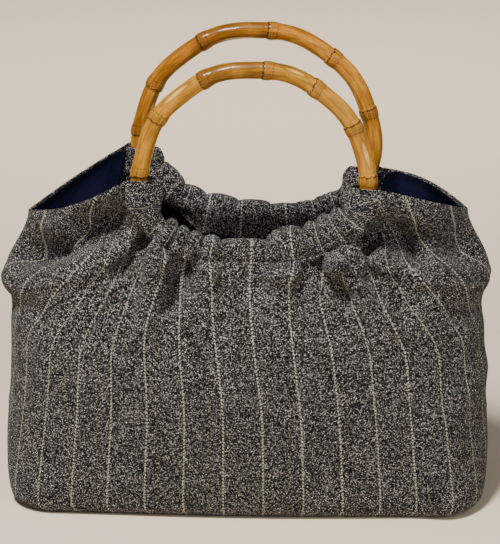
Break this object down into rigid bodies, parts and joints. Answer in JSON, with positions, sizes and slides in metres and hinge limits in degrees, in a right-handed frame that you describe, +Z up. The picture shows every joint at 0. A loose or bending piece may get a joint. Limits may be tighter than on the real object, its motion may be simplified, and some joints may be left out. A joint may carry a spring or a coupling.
{
  "type": "soft handbag with ring handles",
  "caption": "Soft tweed handbag with a flat boxed base, gathered along its mouth onto bamboo ring handles, with a twill lining and wide open sides.",
  "frame": {"origin": "middle of the base, on the floor", "axes": "+X to the bag's right as its front is looked at, +Y from the front to the back, +Z up"},
  "size_m": [0.319, 0.1374, 0.3088],
  "materials": {
    "tweed": "salt and pepper wool tweed with cream pinstripes",
    "lining_twill": "navy twill with a slight sheen",
    "bamboo": "glossy clear varnish"
  },
  "bodies": {
    "root": {"front_panel": "tweed", "back_panel": "tweed", "lining": "lining_twill", "front_handle": "bamboo", "back_handle": "bamboo"}
  },
  "joints": []
}
